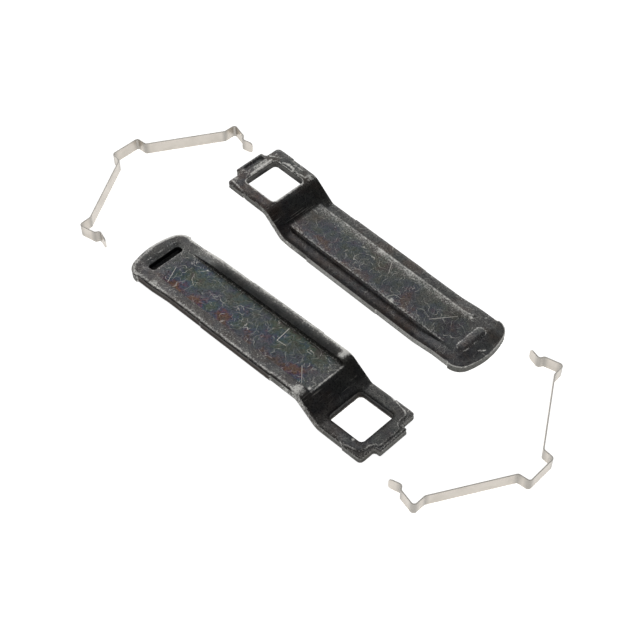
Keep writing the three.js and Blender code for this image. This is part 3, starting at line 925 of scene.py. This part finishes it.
def black_steel(name, seed, stain, film, edge_tones, strokes):
    """Black oxide on pressed steel: mottled, scratched, speckled, rubbed bright on rims and crests."""
    g = Graph(name)
    own = g.attribute("own", "Vector")
    mottle = g.noise(own, 0.20, 4.0, 0.6, seed)
    grain = g.noise(own, 1.2, 3.0, 0.65, seed + 1.0)
    fine = g.noise(own, 1.8, 3.0, 0.7, seed + 12.0)
    colour = g.mix(g.ramp(mottle, 0.36, 0.66), OXIDE_DARK, OXIDE_LIGHT)
    patches = g.ramp(g.noise(own, 0.10, 3.0, 0.6, seed + 2.0), 0.48, 0.66)
    colour = g.mix(g.times(patches, 0.65), colour, stain)
    colour = film_colour(g, own, colour, seed, film)
    colour = g.mix(g.ramp(grain, 0.48, 0.30), colour, GRAIN_DARK)
    colour = g.mix(g.times(g.ramp(fine, 0.49, 0.38), 0.85), colour, PIT)
    # Crust dulls the finish; on the channel side's far wall and flange this mix is painted light.
    colour = g.mix(g.times(g.attribute("crust_and_painted_light"), 0.40), colour, DULLED_AND_PAINTED_LIGHT)
    colour = g.mix(speckle(g, own, seed), colour, SPECK)
    colour = g.mix(flecks(g, own, seed), colour, FLECK)
    lines = g.times(scratch_set(g, own, seed, strokes), g.attribute("scratching"))
    lines = g.larger(lines, draw_marks(g, own, seed))
    colour = g.mix(lines, colour, SCRATCH)
    # Painted shade: the colour darkens on the joggle's slope, the walls, the flanges, the hole rim and the
    # pocket.
    painted_shade = g.times(g.minus(1.0, g.attribute("openness_and_painted_shade")), 0.64)
    colour = g.scaled(colour, g.larger(g.minus(1.0, painted_shade), 0.20))
    cut = g.attribute("cut_edge")
    colour = g.mix(cut, colour, cut_edge_colour(g, own, grain, edge_tones, seed))
    rubbed = worn_through(g, own, seed)
    colour = g.mix(rubbed, colour, BARE_STEEL)
    rough = g.plus(g.times(mottle, 0.22), 0.30)
    rough = g.plus(rough, g.times(cut, 0.12))
    rough = g.plus(rough, g.times(rubbed, 0.25))
    relief = g.plus(g.times(grain, 0.8), g.times(mottle, 1.2))
    normal = g.bump(relief, 0.35, 0.00012)
    normal = g.bump(g.times(lines, -1.0), 0.3, 0.00005, normal)
    return g.finished({"Base Color": colour, "Roughness": rough, "Normal": normal, "Metallic": 0.95})


def speckle(g, own, seed):
    """Fine light specks, lying as thick as the crust attribute says, in drifts; where it holds painted light,
    on the channel side's far wall and flange, they lighten the colour too.
    """
    crust_and_painted_light = g.attribute("crust_and_painted_light")
    drift = g.swing(g.noise(own, 0.25, 3.0, 0.6, seed + 4.0), 0.5, 0.3)
    lift = g.plus(drift, g.swing(crust_and_painted_light, 0.4, 0.30))
    level = g.plus(g.noise(own, 1.6, 3.0, 0.65, seed + 6.0), lift)
    return g.times(g.ramp(level, 0.60, 0.76), g.ramp(crust_and_painted_light, 0.0, 0.12))


def flecks(g, own, seed):
    """Sparse crisp bright chips, thickest where the crust is, and also laid as painted light on the channel
    side's far wall and flange.
    """
    crust_and_painted_light = g.attribute("crust_and_painted_light")
    level = g.plus(g.noise(own, 1.4, 3.0, 0.75, seed + 7.0), g.swing(crust_and_painted_light, 0.3, 0.22))
    return g.times(g.ramp(level, 0.64, 0.70), g.ramp(crust_and_painted_light, 0.02, 0.15))


def draw_marks(g, own, seed):
    """Faint straight marks across the joggle's slope, left by drawing it over the tool."""
    across = g.noise(g.shifted(own, 0.0, (2.6, 0.07, 1.0)), 1.0, 2.0, 0.6, seed + 13.0)
    broken = g.ramp(g.noise(own, 0.12, 2.0, 0.6, seed + 14.0), 0.45, 0.60)
    marks = g.times(g.ramp(across, 0.60, 0.72), broken)
    return g.times(g.times(marks, 0.8), g.attribute("drawn"))


def worn_through(g, own, seed):
    """Bare metal: solid where the wear is strong, breaking into chips where it fades."""
    wear = g.attribute("wear")
    chips = g.swing(g.noise(own, 1.1, 4.0, 0.75, seed + 5.0), 0.5, 1.8)
    reach = g.plus(g.times(g.noise(own, 0.10, 3.0, 0.6, seed + 9.0), 2.0), -0.2)
    level = g.plus(g.times(wear, reach), chips)
    return g.times(g.ramp(level, 0.20, 0.72), g.ramp(wear, 0.04, 0.30))


def cut_edge_colour(g, own, grain, tones, seed):
    """Sheared band towards the rib side, rough fracture below it, another tone near both ends, and stains."""
    share, bore = g.attribute("share"), g.attribute("bore")
    sheared = g.ramp(g.plus(share, g.times(grain, 0.1)), 0.70, 0.76)
    # Painted shade: the torn band in the hole is near black, darker than the rest of the cut edge.
    tone = g.mix(sheared, g.mix(bore, tones["torn"], BORE_TORN_PAINTED_SHADE), g.mix(bore, tones["sheared"], tones["bore"]))
    tone = g.mix(g.times(g.ramp(share, 0.76, 0.94), 0.65), tone, EDGE_FOOT)
    x = g.node("ShaderNodeSeparateXYZ", {"Vector": own}).outputs["X"]
    ends = g.larger(g.ramp(x, BODY_X + 0.5, BODY_X), g.ramp(x, HEAD_X, HEAD_X + 0.5))
    tone = g.mix(g.times(ends, g.minus(1.0, bore)), tone, tones["ends"])
    stained = g.times(g.ramp(g.noise(own, 0.07, 2.0, 0.5, seed + 10.0), 0.45, 0.62), 0.5)
    tone = g.mix(stained, tone, tones["stained"])
    return g.mix(g.times(g.ramp(grain, 0.5, 0.32), 0.8), tone, EDGE_PIT)


def scratch_set(g, own, seed, strokes):
    """Layers of curved hairlines and a few long single strokes."""
    total = None
    for i, size in enumerate(HAIR_CELLS):
        hairs = g.hairs(own, size, seed + 1.7 * i)
        gate = g.ramp(g.noise(own, 0.10, 2.0, 0.6, seed + 20.0 + i), 0.42, 0.56)
        hairs = g.times(hairs, gate)
        total = hairs if total is None else g.larger(total, hairs)
    for start, end, width in strokes:
        total = g.larger(total, g.stroke(own, start, end, width))
    return total


def film_colour(g, own, colour, seed, amount):
    """Thin oxide film: rust, violet, blue, teal and olive in turn across the raised floor."""
    split = g.node("ShaderNodeSeparateXYZ", {"Vector": own})
    x, y = split.outputs["X"], split.outputs["Y"]
    hue = g.noise(own, 0.11, 5.0, 0.68, seed + 8.0)
    hue = g.plus(g.ramp(hue, 0.15, 0.85), g.times(y, 0.016))
    ramp = g.node("ShaderNodeValToRGB", {"Fac": hue})
    stops = ramp.color_ramp.elements
    for stop, tone in zip(stops, FILM_ENDS):
        stop.color = tone
    for place, tone in FILM_TONES:
        stops.new(place).color = tone
    across = g.ramp(g.math("ABSOLUTE", y), 10.2, 9.0)
    along = g.times(g.ramp(x, 34.0, 44.0), g.ramp(x, 136.0, 128.0))
    patchy = g.ramp(g.noise(own, 0.07, 2.0, 0.5, seed + 16.0), 0.35, 0.6)
    where = g.times(g.times(across, along), g.plus(g.times(patchy, 0.7), 0.3))
    where = g.plus(g.times(where, 0.95 * amount), 0.12)
    return g.mix(where, colour, ramp.outputs["Color"])


def spring_steel():
    """Cold rolled stainless strip: satin, with fine rolling lines along it, duller bends and light edges."""
    g = Graph("spring_steel")
    strip = g.attribute("strip", "Vector")
    slit = g.attribute("slit_edge")
    rolling = g.noise(g.shifted(strip, 0.0, (0.05, 5.0, 1.0)), 1.0, 3.0, 0.6, 1.0)
    cloud = g.noise(strip, 0.16, 3.0, 0.55, 2.0)
    colour = g.mix(rolling, STRIP_DARK, STRIP_LIGHT)
    colour = g.mix(g.times(g.ramp(cloud, 0.4, 0.7), 0.35), colour, STRIP_CLOUD)
    colour = g.mix(g.times(g.attribute("bend"), 0.6), colour, STRIP_BEND)
    colour = g.mix(slit, colour, STRIP_EDGE)
    rough = g.plus(g.times(cloud, 0.18), 0.24)
    rough = g.plus(rough, g.times(slit, 0.35))
    normal = g.bump(rolling, 0.2, 0.00004)
    return g.finished({"Base Color": colour, "Roughness": rough, "Normal": normal, "Metallic": 1.0})


def floor_material():
    """Pale light table: a white surface that glows, so nothing on it throws a hard shadow."""
    g = Graph("pale_floor")
    tone = g.noise(g.node("ShaderNodeTexCoord").outputs["Object"], 3.0, 2.0, 0.5, 0.0)
    return g.finished({
        "Base Color": g.mix(tone, FLOOR_DARK, FLOOR_LIGHT), "Roughness": 0.9, "Specular IOR Level": 0.1,
        "Emission Color": WHITE, "Emission Strength": FLOOR_GLOW,
    })


# ---- Scene ----
def direction(azimuth, elevation):
    """Azimuth 0 stands at -Y and turns towards +X."""
    a, e = math.radians(azimuth), math.radians(elevation)
    return Vector((math.sin(a) * math.cos(e), -math.cos(a) * math.cos(e), math.sin(e)))


def add_facing(name, data, back, spot):
    """A camera or a lamp at a spot, looking against back."""
    made = bpy.data.objects.new(name, data)
    made.location = spot
    made.rotation_euler = (-back).to_track_quat("-Z", "Y").to_euler()
    bpy.context.scene.collection.objects.link(made)
    return made


def add_camera():
    data = bpy.data.cameras.new("camera")
    data.lens = LENS
    data.clip_start, data.clip_end = 0.01, 20.0
    back = direction(VIEW_AZIMUTH, VIEW_ELEVATION)
    spot = Vector(VIEW_TARGET) * MM + back * VIEW_DISTANCE * MM
    bpy.context.scene.camera = add_facing("camera", data, back, spot)


def add_light(name, turn, elevation, size, radiance):
    """Rectangular soft light, turned from the camera's azimuth."""
    data = bpy.data.lights.new(name, "AREA")
    data.shape = "RECTANGLE"
    data.size, data.size_y = size
    data.energy = radiance * math.pi * size[0] * size[1]
    back = direction(VIEW_AZIMUTH + turn, elevation)
    add_facing(name, data, back, back * LIGHT_DISTANCE)


def add_surroundings():
    bpy.ops.mesh.primitive_plane_add(size=20.0, location=(0.0, 0.0, -0.0002))
    floor = bpy.context.object
    floor.name = "floor"
    floor.data.materials.append(floor_material())
    world = bpy.data.worlds.new("studio")
    world.use_nodes = True
    background = world.node_tree.nodes["Background"]
    background.inputs["Color"].default_value = WHITE
    background.inputs["Strength"].default_value = WORLD_GLOW
    bpy.context.scene.world = world
    for light in LIGHTS:
        add_light(*light)
    bpy.context.scene.view_settings.view_transform = "Standard"


def finish_piece(piece, material, node, body):
    piece.data.materials.append(material)
    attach(piece, body)
    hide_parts(node)


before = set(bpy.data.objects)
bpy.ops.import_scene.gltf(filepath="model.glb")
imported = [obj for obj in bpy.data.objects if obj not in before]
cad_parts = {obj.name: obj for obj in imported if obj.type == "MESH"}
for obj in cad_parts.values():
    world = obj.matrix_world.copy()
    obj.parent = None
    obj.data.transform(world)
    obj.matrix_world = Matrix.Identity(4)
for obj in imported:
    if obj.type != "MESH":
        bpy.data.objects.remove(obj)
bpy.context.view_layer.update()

shape = bar_parts()
rib_up = bar_piece("rib_up_bar", RIB_UP_BAR, 0.0, shape)
channel_up = bar_piece("channel_up_bar", CHANNEL_UP_BAR, resting_tilt(), shape)
rib_up_steel = black_steel("black_steel_rib_up", 2.0, RIB_UP_STAIN, 0.45, RIB_UP_EDGE, RIB_SIDE_STROKES)
channel_up_steel = black_steel(
    "black_steel_channel_up", 11.0, CHANNEL_UP_STAIN, 1.0, CHANNEL_UP_EDGE, CHANNEL_SIDE_STROKES
)
finish_piece(rib_up, rib_up_steel, "retainer_rib_up", "rib_up_bar")
finish_piece(channel_up, channel_up_steel, "retainer_channel_up", "channel_up_bar")
strip_material = spring_steel()
for name, spot, node, body in (
    ("left_strip", LEFT_SPRING, "pad_spring_left", "left_spring"),
    ("right_strip", RIGHT_SPRING, "pad_spring_right", "right_spring"),
):
    finish_piece(spring_piece(name, spot), strip_material, node, body)

add_surroundings()
add_camera()
